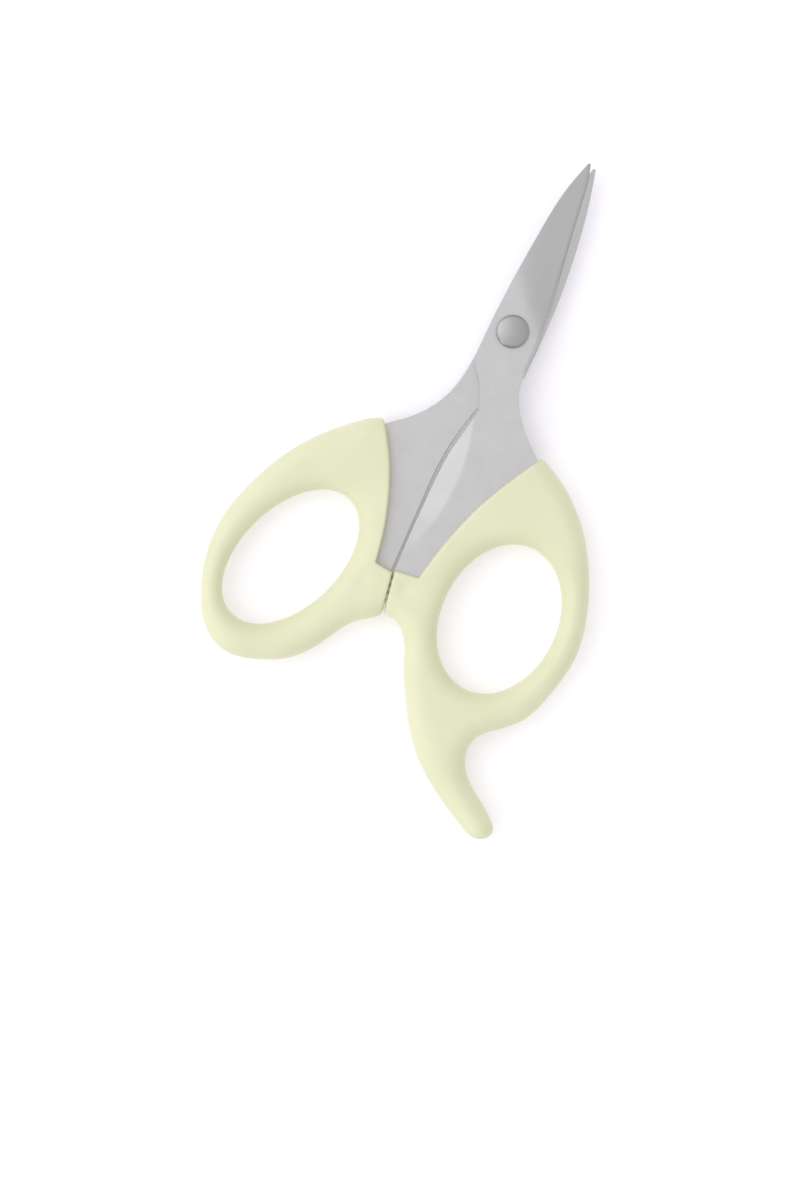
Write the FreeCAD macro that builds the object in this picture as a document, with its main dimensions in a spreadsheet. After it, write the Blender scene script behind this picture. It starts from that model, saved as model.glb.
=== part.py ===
"""Thread snips: small embroidery scissors with two moulded bows, one of them with a finger rest.

Millimetres, +Z up, the snips lying flat and closed. The pivot axis is the Z axis and the foot of the
pivot nut is the origin, on the surface that the snips lie on. +Y points along the closed blades.
The upper blade and the finger bow are one half. The lower blade and the thumb bow are the other
half, which turns on the barrel of the pivot nut.
"""

import FreeCAD, Part
import math
import os
import Sketcher
from FreeCAD import Placement, Rotation, Vector

SIZES = {
    # plates
    "mid_level": 3.5,         # level of the joint between the two plates, half the height of a bow
    "plate_thick": 1.8,
    "ride_gap": 0.04,         # running gap between the plates
    "edge_land": 0.28,        # thickness left at a cutting edge
    "bevel_start": 16.0,      # where the ground bevel reaches its full depth
    "bevel_wheel": 80.0,      # radius of the run-out at the bevel's start
    "bevel_spine": -3.35,     # where the bevel meets the spine, at its start
    "bevel_sink": 0.385,      # how far it is below the outer face at the spine, at its start
    "bevel_heel": 2.4,        # where it comes down to the land, at its start
    "bevel_reach": 45.0,      # length and width of the tool that cuts it
    "hollow_wheel": 22.0,     # radius of the hollow ground into the inner face
    "hollow_depth": 0.14,
    "hollow_start": 9.0,
    "hollow_end": 28.5,       # where the hollow runs out
    "hollow_start_x": 0.15,
    "hollow_end_x": -0.4,
    "relief_radius": 34.0,    # conical relief ground into the inner edge of the upper shank
    "relief_x": -31.3,
    "relief_y": -28.0,
    "relief_angle": 7.0,
    "key_radius": 0.8,        # keying holes in the tangs, which the mouldings fill
    # pivot
    "bore_play": 0.03,        # radial play of the plates on the barrel
    "barrel_radius": 1.6,
    "thread_radius": 1.0,
    "thread_length": 3.1,
    "head_radius": 2.8,
    "head_height": 1.15,
    "head_rim": 0.7,
    "washer_radius": 2.5,
    "washer_thick": 0.3,
    "spring_thick": 0.18,     # sheet of the spring washer
    "spring_play": 0.01,      # left under the lower plate
    "nut_radius": 2.9,
    "spanner_radius": 0.4,    # two blind holes in the nut, for a pin spanner
    "spanner_spread": 2.1,
    "spanner_depth": 0.6,
    # bows
    "bow_bevel": 1.0,         # bevel around the outside of a bow
    "eye_round": 2.1,         # rounding of its finger eye
    "finger_eye_x": 19.1,
    "finger_eye_y": -44.6,
    "finger_eye_across": 9.7,
    "finger_eye_along": 13.15,
    "finger_eye_lean": 0.0,
    "thumb_eye_x": -17.1,
    "thumb_eye_y": -50.4,
    "thumb_eye_across": 8.25,
    "thumb_eye_along": 13.8,
    "thumb_eye_lean": -20.0,
}

# Each outline is a closed chain of runs, named by what they follow. A run of two points is a
# straight edge, and a longer one is a smooth curve through its points.
UPPER_PLATE = {
    "spine": [(-3.9, -6.6), (-3.97, 0), (-3.8, 7.5), (-3.25, 17), (-2.3, 25.5), (-0.85, 31.25)],
    "point": [(-0.85, 31.25), (-0.45, 31.35)],
    "cutting_edge": [(-0.45, 31.35), (0.3, 28.9), (0.95, 25.4), (2.1, 18.2), (3.45, 10), (4.3, 4.4), (4.75, 0),
                     (4.98, -5.5)],
    "outer_side": [(4.98, -5.5), (5.3, -8.4), (6.6, -11.1), (9.4, -14.5), (13.3, -17.7)],
    "tang_shoulder": [(13.3, -17.7), (14.7, -19.6), (14.6, -22.6)],
    "tang_back": [(14.6, -22.6), (12.2, -28), (8.6, -33.6), (6.9, -38.5), (6.0, -45.8)],
    "tang_end": [(6.0, -45.8), (2.3, -47.2)],
    "tang_side": [(2.3, -47.2), (1.6, -44.95)],
    "shank_end": [(1.6, -44.95), (-0.4, -44.9)],
    "inner_side": [(-0.4, -44.9), (-0.72, -39), (-0.87, -32), (-0.92, -26), (-0.7, -23), (-0.08, -19),
                   (0.65, -14.6)],
    "crotch": [(0.65, -14.6), (-0.35, -12.0), (-1.7, -9.6), (-3.0, -8.1), (-3.9, -6.6)],
}
LOWER_PLATE = {
    "spine": [(5.2, -6.0), (5.15, 0), (4.72, 9), (3.75, 17), (2.25, 25), (0.75, 30.8)],
    "point": [(0.75, 30.8), (0.35, 30.85)],
    "cutting_edge": [(0.35, 30.85), (-0.2, 28.6), (-0.8, 25), (-1.8, 18), (-3.0, 10), (-3.6, 4.4), (-3.75, 0),
                     (-3.95, -6.5)],
    "outer_side": [(-3.95, -6.5), (-4.3, -10.5), (-5.4, -14.6), (-8.6, -19.6), (-12.4, -23.1)],
    "tang_shoulder": [(-12.4, -23.1), (-14.3, -25.2), (-14.5, -28.4)],
    "tang_back": [(-14.5, -28.4), (-11.2, -32.2), (-8.1, -36.4), (-6.3, -41.2), (-5.6, -46.2)],
    "tang_end": [(-5.6, -46.2), (-2.6, -47.6)],
    "tang_side": [(-2.6, -47.6), (-2.1, -45.3)],
    "shank_end": [(-2.1, -45.3), (-0.8, -45.3)],
    "inner_side": [(-0.8, -45.3), (-1.06, -39), (-1.32, -32), (-1.46, -26), (-1.32, -23), (-0.75, -19),
                   (0.1, -14.9)],
    "crotch": [(0.1, -14.9), (1.4, -12.0), (2.8, -9.6), (4.2, -7.9), (5.2, -6.0)],
}
FINGER_BOW = {
    "corner": [(13.0, -18.1), (13.5, -17.45), (14.6, -17.35)],
    "outside": [(14.6, -17.35), (20.2, -20.3), (25.3, -24.9), (29.6, -31.2), (32.6, -38.2), (33.7, -45.2),
                (32.7, -51.8), (30.0, -58.6), (26.6, -61.9), (24.2, -64.6), (24.2, -68.2), (27.4, -72.1),
                (32.2, -75.3), (33.9, -77.7), (32.3, -79.6), (28.3, -78.8), (21.6, -75.2), (15.2, -70.0),
                (10.9, -64.0), (7.9, -58.6), (5.6, -54.1), (3.6, -52.5)],
    "nub_end": [(3.6, -52.5), (1.75, -52.3), (0.91, -51.7)],
    "nub_face": [(0.91, -51.7), (-0.44, -44.75)],
    "lip_end": [(-0.44, -44.75), (3.75, -44.1)],
    "lip": [(3.75, -44.1), (4.4, -40.6), (6.0, -34.0), (8.3, -27.5), (13.0, -18.1)],
}
THUMB_BOW = {
    "corner": [(-12.1, -23.7), (-12.8, -23.05), (-14.1, -22.95)],
    "outside": [(-14.1, -22.95), (-18.2, -26.0), (-22.2, -30.2), (-26.0, -35.9), (-28.8, -42.2), (-30.6, -49.4),
                (-30.5, -55.8), (-28.7, -62.0), (-25.0, -67.5), (-19.8, -69.7), (-14.6, -68.5), (-9.9, -65.9),
                (-6.2, -61.4), (-4.0, -57.4), (-2.0, -55.0)],
    "nub_end": [(-2.0, -55.0), (-0.4, -53.9), (0.95, -52.5)],
    "nub_face": [(0.95, -52.5), (-0.47, -45.2)],
    "lip_end": [(-0.47, -45.2), (-3.6, -44.95)],
    "lip": [(-3.6, -44.95), (-4.6, -40.0), (-6.4, -34.3), (-9.0, -28.5), (-12.1, -23.7)],
}
UPPER_KEYS = [(12.6, -22.8), (4.2, -45.5)]
LOWER_KEYS = [(-12.3, -27.2), (-4.0, -46.1)]

doc = FreeCAD.newDocument("thread_snips")
sheet = doc.addObject("Spreadsheet::Sheet", "sizes")
for row, (alias, value) in enumerate(SIZES.items(), start=1):
    sheet.set(f"A{row}", alias)
    sheet.set(f"B{row}", str(value))
    sheet.setAlias(f"B{row}", alias)
doc.recompute()


def size(alias):
    """The value of one cell of the sheet."""
    return float(sheet.get(alias))


# ---------------------------------------------------------------- features of a body

def run_curve(points):
    """The straight edge or the smooth curve of one run of an outline."""
    knots = [Vector(x, y, 0) for x, y in points]
    if len(knots) == 2:
        return Part.LineSegment(*knots)
    curve = Part.BSplineCurve()
    curve.interpolate(knots)
    return curve


def new_sketch(body, name, role="XY_Plane"):
    """An empty sketch on one of the body's own origin planes."""
    sketch = body.newObject("Sketcher::SketchObject", name)
    sketch.AttachmentSupport = (next(f for f in body.Origin.OriginFeatures if f.Role == role), "")
    sketch.MapMode = "FlatFace"
    return sketch


def pad(body, sketch, name, length, level):
    """A pad from a level upwards; length and level are expressions of the sheet."""
    sketch.setExpression("AttachmentOffset.Base.z", level)
    feature = body.newObject("PartDesign::Pad", name)
    feature.Profile = sketch
    feature.setExpression("Length", length)
    doc.recompute()
    return feature


def pocket(body, sketch, name, length, level):
    """A cut from a level upwards, which has to take something away."""
    before = body.Shape.Volume
    sketch.setExpression("AttachmentOffset.Base.z", level)
    feature = body.newObject("PartDesign::Pocket", name)
    feature.Profile = sketch
    feature.setExpression("Length", length)
    feature.Reversed = True
    doc.recompute()
    if feature.Shape.Volume > before - 1e-6:
        raise RuntimeError(name + " cuts nothing")
    return feature


def add_outline(sketch, outline):
    for points in outline.values():
        sketch.addGeometry(run_curve(points))


def add_circle(sketch, x, y, radius):
    """A circle at a fixed place whose radius is an expression of the sheet."""
    circle = sketch.addGeometry(Part.Circle(Vector(x, y, 0), Vector(0, 0, 1), 1.0))
    sketch.addConstraint(Sketcher.Constraint("DistanceX", -1, 1, circle, 3, x))
    sketch.addConstraint(Sketcher.Constraint("DistanceY", -1, 1, circle, 3, y))
    constraint = sketch.addConstraint(Sketcher.Constraint("Radius", circle, 1.0))
    sketch.setExpression(f"Constraints[{constraint}]", radius)


def combine(kind, name, base, tools):
    """A Part::Cut or Part::Fuse of a base and one or more tools."""
    tool = tools[0]
    if len(tools) > 1:
        tool = doc.addObject("Part::MultiFuse", name + "_tools")
        tool.Shapes = tools
    feature = doc.addObject(kind, name)
    feature.Base = base
    feature.Tool = tool
    doc.recompute()
    return feature


def primitive(kind, name, **expressions):
    """A Part primitive with properties bound to the sheet, such as Height or Placement.Base.z."""
    feature = doc.addObject(kind, name)
    for field, expression in expressions.items():
        feature.setExpression(field.replace("__", "."), expression)
    doc.recompute()
    return feature


# ---------------------------------------------------------------- blades
# Both plates are ground alike: the lower one is the upper one turned over about an axis along Y.
# The tools below are therefore placed on the upper plate and turned over for the lower one.

INNER = size("mid_level") + size("ride_gap") / 2
OUTER = INNER + size("plate_thick")
TURNED_OVER = Placement(Vector(0, 0, 2 * size("mid_level")), Rotation(Vector(0, 1, 0), 180))


def frame_along(origin, along, up):
    """The placement whose Y axis runs along a direction and whose Z axis is nearly up."""
    x_axis = along.cross(up)
    return Placement(origin, Rotation(x_axis, along, x_axis.cross(along), "YXZ"))


def bevel_placement():
    """The ground face runs from the full plate at the spine to a thin land at the cutting edge."""
    start = Vector(size("bevel_spine"), size("bevel_start"), OUTER - size("bevel_sink"))
    heel = Vector(size("bevel_heel"), size("bevel_start"), INNER + size("edge_land"))
    tip = Vector(*UPPER_PLATE["point"][-1], INNER + size("edge_land"))
    up = (heel - start).cross(tip - heel)
    across = (heel - start).normalize()
    return frame_along(start, up.cross(across).normalize(), up.normalize())


def bevel_tool(name, turned_over):
    """A slab with a round front end, which leaves the soft run-out of a grinding wheel."""
    body = doc.addObject("PartDesign::Body", name)
    sketch = new_sketch(body, name + "_profile", "YZ_Plane")
    wheel = size("bevel_wheel")
    slab = size("bevel_reach")
    round_end = Part.Circle(Vector(0, wheel, 0), Vector(0, 0, 1), wheel)
    sketch.addGeometry(Part.ArcOfCircle(round_end, math.pi, 1.5 * math.pi))
    sketch.addGeometry(Part.LineSegment(Vector(0, 0, 0), Vector(slab, 0, 0)))
    sketch.addGeometry(Part.LineSegment(Vector(slab, 0, 0), Vector(slab, wheel, 0)))
    sketch.addGeometry(Part.LineSegment(Vector(slab, wheel, 0), Vector(-wheel, wheel, 0)))
    feature = body.newObject("PartDesign::Pad", name + "_slab")
    feature.Profile = sketch
    feature.Length = slab
    feature.SideType = "Symmetric"
    placement = bevel_placement()
    body.Placement = TURNED_OVER * placement if turned_over else placement
    doc.recompute()
    return body


def hollow_tool(name, turned_over):
    """A wheel along the inner face, deepest behind the edge and running out before the point."""
    wheel = primitive("Part::Cylinder", name, Radius="sizes.hollow_wheel")
    radius = size("hollow_wheel")
    start = Vector(size("hollow_start_x"), size("hollow_start"), INNER + size("hollow_depth") - radius)
    end = Vector(size("hollow_end_x"), size("hollow_end"), INNER - radius)
    wheel.Height = (end - start).Length
    placement = Placement(start, Rotation(Vector(0, 0, 1), end - start))
    wheel.Placement = TURNED_OVER * placement if turned_over else placement
    doc.recompute()
    return wheel


def relief_tool(name):
    """A cone whose slope is the light facet along the inner edge of the upper shank."""
    rise = 1.0
    depth = size("plate_thick")
    spread = 1 / math.tan(math.radians(size("relief_angle")))
    cone = primitive("Part::Cone", name)
    cone.Radius1 = size("relief_radius") - depth * spread
    cone.Radius2 = size("relief_radius") + rise * spread
    cone.Height = depth + rise
    cone.Placement = Placement(Vector(size("relief_x"), size("relief_y"), OUTER - depth), Rotation())
    doc.recompute()
    return cone


def plate(name, outline, keys, level):
    """The blank of one plate, with its pivot bore and the keying holes of its tang."""
    body = doc.addObject("PartDesign::Body", name)
    sketch = new_sketch(body, name + "_outline")
    add_outline(sketch, outline)
    pad(body, sketch, name + "_plate", "sizes.plate_thick", level)
    bores = new_sketch(body, name + "_bores")
    add_circle(bores, 0, 0, "sizes.barrel_radius + sizes.bore_play")
    for x, y in keys:
        add_circle(bores, x, y, "sizes.key_radius")
    pocket(body, bores, name + "_holes", "sizes.plate_thick", level)
    return body


def make_upper_blade():
    blank = plate("upper_blank", UPPER_PLATE, UPPER_KEYS, "sizes.mid_level + sizes.ride_gap / 2")
    tools = [bevel_tool("upper_bevel", False), hollow_tool("upper_hollow", False), relief_tool("upper_relief")]
    for number, tool in enumerate(tools[:-1]):
        blank = combine("Part::Cut", f"upper_ground_{number}", blank, [tool])
    return combine("Part::Cut", "upper_blade", blank, [tools[-1]])


def make_lower_blade():
    level = "sizes.mid_level - sizes.ride_gap / 2 - sizes.plate_thick"
    blank = plate("lower_blank", LOWER_PLATE, LOWER_KEYS, level)
    ground = combine("Part::Cut", "lower_ground", blank, [bevel_tool("lower_bevel", True)])
    return combine("Part::Cut", "lower_blade", ground, [hollow_tool("lower_hollow", True)])


# ---------------------------------------------------------------- bows

def rim_edges(feature, centre, of_eye):
    """The names of a slab's level edges: the two of its eye, or all the others."""
    names = []
    for number, edge in enumerate(feature.Shape.Edges, start=1):
        box = edge.BoundBox
        level = box.ZLength < 1e-4
        around_eye = edge.isClosed() and math.dist((box.Center.x, box.Center.y), centre) < 1.0
        if level and around_eye == of_eye:
            names.append(f"Edge{number}")
    return names


def dress(kind, name, body, base, edges, field, expression):
    """A PartDesign::Fillet or PartDesign::Chamfer of named edges."""
    feature = body.newObject(kind, name)
    feature.Base = (base, edges)
    feature.setExpression(field, expression)
    doc.recompute()
    return feature


def make_bow(name, outline, eye, blade):
    """A moulded bow: a slab with a finger eye and softened edges, moulded around the tang."""
    body = doc.addObject("PartDesign::Body", name + "_moulding")
    sketch = new_sketch(body, name + "_outline")
    add_outline(sketch, outline)
    centre = Vector(size(eye + "_x"), size(eye + "_y"), 0)
    lean = Rotation(Vector(0, 0, 1), size(eye + "_lean"))
    along = centre + lean.multVec(Vector(0, size(eye + "_along"), 0))
    across = centre + lean.multVec(Vector(-size(eye + "_across"), 0, 0))
    sketch.addGeometry(Part.Ellipse(along, across, centre))
    slab = pad(body, sketch, name + "_slab", "2 * sizes.mid_level", "0")
    place = (centre.x, centre.y)
    bevel = dress("PartDesign::Chamfer", name + "_bevel", body, slab,
                  rim_edges(slab, place, False), "Size", "sizes.bow_bevel")
    dress("PartDesign::Fillet", name + "_rounding", body, bevel,
          rim_edges(bevel, place, True), "Radius", "sizes.eye_round")
    return combine("Part::Cut", name, body, [blade])


# ---------------------------------------------------------------- pivot

def make_pivot_screw():
    """A low domed head on a plain shank, which is the thread's outer diameter."""
    seat = "sizes.mid_level + sizes.ride_gap / 2 + sizes.plate_thick + sizes.washer_thick"
    rim, rise, radius = size("head_rim"), size("head_height") - size("head_rim"), size("head_radius")
    dome_radius = (radius ** 2 + rise ** 2) / (2 * rise)
    head = primitive("Part::Cylinder", "screw_head", Radius="sizes.head_radius",
                     Height="sizes.head_height", Placement__Base__z=seat)
    dome = primitive("Part::Sphere", "screw_dome")
    dome.Radius = dome_radius
    dome.setExpression("Placement.Base.z", f"{seat} + {rim + rise - dome_radius}")
    crown = combine("Part::Common", "screw_crown", head, [dome])
    shank = primitive("Part::Cylinder", "screw_shank", Radius="sizes.thread_radius",
                      Height="sizes.thread_length", Placement__Base__z=seat + " - sizes.thread_length")
    return combine("Part::Fuse", "pivot_screw", crown, [shank])


def ring(name, outer, inner, height, level):
    """A flat ring."""
    disc = primitive("Part::Cylinder", name + "_disc", Radius=outer, Height=height, Placement__Base__z=level)
    hole = primitive("Part::Cylinder", name + "_hole", Radius=inner, Height=height, Placement__Base__z=level)
    return combine("Part::Cut", name, disc, [hole])


def make_friction_washer():
    return ring("friction_washer", "sizes.washer_radius", "sizes.thread_radius + sizes.bore_play",
                "sizes.washer_thick", "sizes.mid_level + sizes.ride_gap / 2 + sizes.plate_thick")


def make_spring_washer():
    """A dished spring washer: its inner rim bears on the nut and its outer rim under the lower plate."""
    top = "sizes.mid_level - sizes.ride_gap / 2 - sizes.plate_thick"
    thick = size("spring_thick")
    dish = size("washer_thick") - thick - size("spring_play")
    inner, outer = size("barrel_radius") + size("bore_play"), size("washer_radius")
    profile = Part.makePolygon([Vector(inner, 0, 0), Vector(outer, 0, dish), Vector(outer, 0, dish + thick),
                                Vector(inner, 0, thick), Vector(inner, 0, 0)])
    washer = doc.addObject("Part::Feature", "spring_washer")
    washer.Shape = Part.Face(profile).revolve(Vector(0, 0, 0), Vector(0, 0, 1), 360)
    washer.setExpression("Placement.Base.z", f"{top} - sizes.washer_thick")
    doc.recompute()
    return washer


def make_pivot_nut():
    """A barrel nut: a foot under the lower plate and a barrel up through both plates."""
    foot_height = "sizes.mid_level - sizes.ride_gap / 2 - sizes.plate_thick - sizes.washer_thick"
    barrel_top = "sizes.mid_level + sizes.plate_thick"
    foot = primitive("Part::Cylinder", "nut_foot", Radius="sizes.nut_radius", Height=foot_height)
    barrel = primitive("Part::Cylinder", "nut_barrel", Radius="sizes.barrel_radius", Height=barrel_top)
    solid = combine("Part::Fuse", "nut_solid", foot, [barrel])
    tapped = primitive("Part::Cylinder", "nut_thread", Radius="sizes.thread_radius", Height="sizes.mid_level",
                       Placement__Base__z="sizes.mid_level + sizes.plate_thick + sizes.ride_gap / 2"
                                          " + sizes.washer_thick - sizes.thread_length")
    holes = [tapped]
    for side, name in ((1, "nut_spanner_right"), (-1, "nut_spanner_left")):
        holes.append(primitive("Part::Cylinder", name, Radius="sizes.spanner_radius",
                               Height="sizes.spanner_depth", Placement__Base__x=f"{side} * sizes.spanner_spread"))
    return combine("Part::Cut", "pivot_nut", solid, holes)


upper_blade = make_upper_blade()
lower_blade = make_lower_blade()
nodes = [
    upper_blade,
    lower_blade,
    make_bow("finger_bow", FINGER_BOW, "finger_eye", upper_blade),
    make_bow("thumb_bow", THUMB_BOW, "thumb_eye", lower_blade),
    make_pivot_screw(),
    make_friction_washer(),
    make_spring_washer(),
    make_pivot_nut(),
]
doc.recompute()

for item in doc.Objects:
    if "Invalid" in item.State or "Error" in item.State:
        raise RuntimeError(f"{item.Name} failed: {item.State}")
os.makedirs("parts", exist_ok=True)
for node in nodes:
    node.Label = node.Name
    if node.Shape.isNull() or not node.Shape.isValid() or len(node.Shape.Solids) != 1:
        raise RuntimeError(f"{node.Label} is not one valid solid")
    node.Shape.exportStep(f"parts/{node.Label}.step")
    print(f"{node.Label}: {node.Shape.Volume:.2f} mm3, box {node.Shape.BoundBox}")
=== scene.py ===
"""Looks of the thread snips: ground blades, moulded bows and a turned pivot."""

import logging
import math
from collections.abc import Sequence
from dataclasses import dataclass, field
from enum import Enum
from typing import Any

import bmesh
import bpy
import numpy as np
from mathutils import Matrix, Vector
from mathutils.geometry import delaunay_2d_cdt


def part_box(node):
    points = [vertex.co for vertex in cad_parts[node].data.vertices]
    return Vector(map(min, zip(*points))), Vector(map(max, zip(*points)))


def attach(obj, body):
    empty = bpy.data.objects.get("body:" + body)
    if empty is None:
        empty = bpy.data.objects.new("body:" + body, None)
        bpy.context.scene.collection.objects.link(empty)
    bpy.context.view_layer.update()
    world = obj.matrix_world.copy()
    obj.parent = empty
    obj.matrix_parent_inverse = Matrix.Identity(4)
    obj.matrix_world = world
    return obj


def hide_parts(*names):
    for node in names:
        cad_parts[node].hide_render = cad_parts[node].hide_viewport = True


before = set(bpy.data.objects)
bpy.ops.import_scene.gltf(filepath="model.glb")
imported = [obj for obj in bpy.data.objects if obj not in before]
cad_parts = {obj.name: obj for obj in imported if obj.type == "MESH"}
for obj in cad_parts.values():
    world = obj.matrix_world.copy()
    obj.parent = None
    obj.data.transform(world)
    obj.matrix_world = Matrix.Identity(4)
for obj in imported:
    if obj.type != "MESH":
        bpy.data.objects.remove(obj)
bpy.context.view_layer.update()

LOG = logging.getLogger("thread_snips")
MM = 0.001
HONE_REACH = 1.05
Point = tuple[float, float]
Colour = tuple[float, float, float]


class Half(Enum):
    """The two halves that turn on each other, named by the body each rides on."""

    UPPER = "upper_half"
    LOWER = "lower_half"


# ---------------------------------------------------------------- node wiring

class Signal:
    """One output socket of a node tree, which takes part in Python arithmetic."""

    def __init__(self, wiring: "Wiring", socket: bpy.types.NodeSocket) -> None:
        """Keep the tree and the socket that this signal comes from."""
        self.wiring = wiring
        self.socket = socket

    def _maths(self, operation: str, first: "Operand", second: "Operand") -> "Signal":
        """Add one Math node."""
        return self.wiring.node("ShaderNodeMath", {"operation": operation}, {0: first, 1: second})

    def __add__(self, other: "Operand") -> "Signal":
        """Sum."""
        return self._maths("ADD", self, other)

    def __sub__(self, other: "Operand") -> "Signal":
        """Difference."""
        return self._maths("SUBTRACT", self, other)

    def __rsub__(self, other: "Operand") -> "Signal":
        """Difference with a number in front."""
        return self._maths("SUBTRACT", other, self)

    def __mul__(self, other: "Operand") -> "Signal":
        """Product."""
        return self._maths("MULTIPLY", self, other)

    def __truediv__(self, other: "Operand") -> "Signal":
        """Quotient."""
        return self._maths("DIVIDE", self, other)

    def __pow__(self, other: "Operand") -> "Signal":
        """Power."""
        return self._maths("POWER", self, other)

    __radd__ = __add__
    __rmul__ = __mul__

    def unary(self, operation: str) -> "Signal":
        """A Math node of one input, such as ABSOLUTE or SQRT."""
        return self.wiring.node("ShaderNodeMath", {"operation": operation}, {0: self})

    def above(self, other: "Operand") -> "Signal":
        """The larger of two values."""
        return self._maths("MAXIMUM", self, other)

    def below(self, other: "Operand", softness: float = 0.0) -> "Signal":
        """The smaller of two values, blended where they are nearly the same."""
        inputs = {0: self, 1: other, 2: softness}
        return self.wiring.node("ShaderNodeMath", {"operation": "SMOOTH_MIN"}, inputs)

    def step(self, low: float, high: float) -> "Signal":
        """A smooth step from 0 at low to 1 at high."""
        settings = {"interpolation_type": "SMOOTHSTEP"}
        inputs = {"Value": self, "From Min": low, "From Max": high}
        return self.wiring.node("ShaderNodeMapRange", settings, inputs)


Operand = Signal | float


class Wiring:
    """A node tree. Every node other than arithmetic comes from its node method."""

    def __init__(self, tree: bpy.types.NodeTree) -> None:
        """Wrap a tree."""
        self.tree = tree

    def feed(self, node: bpy.types.Node, name: str | int, value: Any) -> None:
        """Set an input to a constant, or link it to a signal."""
        if isinstance(value, Signal):
            self.tree.links.new(value.socket, node.inputs[name])
        else:
            node.inputs[name].default_value = value

    def node(self, kind: str, settings: dict[str, Any] | None = None,
             inputs: dict[str | int, Any] | None = None, output: str | int = 0) -> Signal:
        """Add a node.

        Args:
            kind: the node's type.
            settings: its properties, which are set first.
            inputs: constants or signals by socket name or number.
            output: the socket that the returned signal reads.

        Returns:
            The signal of that output.
        """
        made = self.tree.nodes.new(kind)
        for name, value in (settings or {}).items():
            setattr(made, name, value)
        for name, value in (inputs or {}).items():
            self.feed(made, name, value)
        return Signal(self, made.outputs[output])

    def parts(self, vector: Signal) -> tuple[Signal, Signal, Signal]:
        """The three components of a vector."""
        split = self.node("ShaderNodeSeparateXYZ", {}, {0: vector})
        return tuple(Signal(self, split.socket.node.outputs[axis]) for axis in "XYZ")

    def vector(self, x: Operand, y: Operand, z: Operand) -> Signal:
        """A vector from three values."""
        return self.node("ShaderNodeCombineXYZ", {}, {0: x, 1: y, 2: z})


class Graph(Wiring):
    """The node tree of a material whose surface is one Principled shader."""

    def __init__(self, name: str) -> None:
        """Make the material with its output and its shader."""
        self.material = bpy.data.materials.new(name)
        self.material.use_nodes = True
        super().__init__(self.material.node_tree)
        self.tree.nodes.clear()
        output = self.tree.nodes.new("ShaderNodeOutputMaterial")
        self.shader = self.tree.nodes.new("ShaderNodeBsdfPrincipled")
        self.tree.links.new(self.shader.outputs["BSDF"], output.inputs["Surface"])

    def place(self, scale: Sequence[float] = (1, 1, 1), turn: float = 0.0) -> Signal:
        """Object coordinates in millimetres, turned about Z by degrees and then scaled."""
        coordinates = self.node("ShaderNodeTexCoord", output="Object")
        turned = self.node("ShaderNodeMapping", {"vector_type": "POINT"}, {
            "Vector": coordinates, "Rotation": (0, 0, math.radians(turn)), "Scale": (1 / MM,) * 3})
        settings = {"operation": "MULTIPLY"}
        return self.node("ShaderNodeVectorMath", settings, {0: turned, 1: tuple(scale)})

    def noise(self, vector: Signal, scale: float, detail: float = 2.0,
              roughness: float = 0.5) -> Signal:
        """Noise from 0 to 1 at a scale per millimetre."""
        return self.node("ShaderNodeTexNoise", {}, {
            "Vector": vector, "Scale": scale, "Detail": detail, "Roughness": roughness})

    def attribute(self, name: str) -> Signal:
        """A value stored on the mesh."""
        return self.node("ShaderNodeAttribute", {"attribute_name": name}, output="Fac")

    def mix(self, factor: Operand, first: Any, second: Any) -> Signal:
        """A colour between two colours."""
        inputs = {0: factor, 6: first, 7: second}
        return self.node("ShaderNodeMix", {"data_type": "RGBA"}, inputs, output=2)

    def bump(self, height: Signal, distance_mm: float) -> Signal:
        """A normal from a height whose value 1 stands for a distance."""
        return self.node("ShaderNodeBump", {}, {"Height": height, "Distance": distance_mm * MM})

    def finish(self, **sockets: Any) -> bpy.types.Material:
        """Feed the Principled shader; an underscore in a name stands for a space."""
        for name, value in sockets.items():
            self.feed(self.shader, name.replace("_", " "), value)
        return self.material


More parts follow.
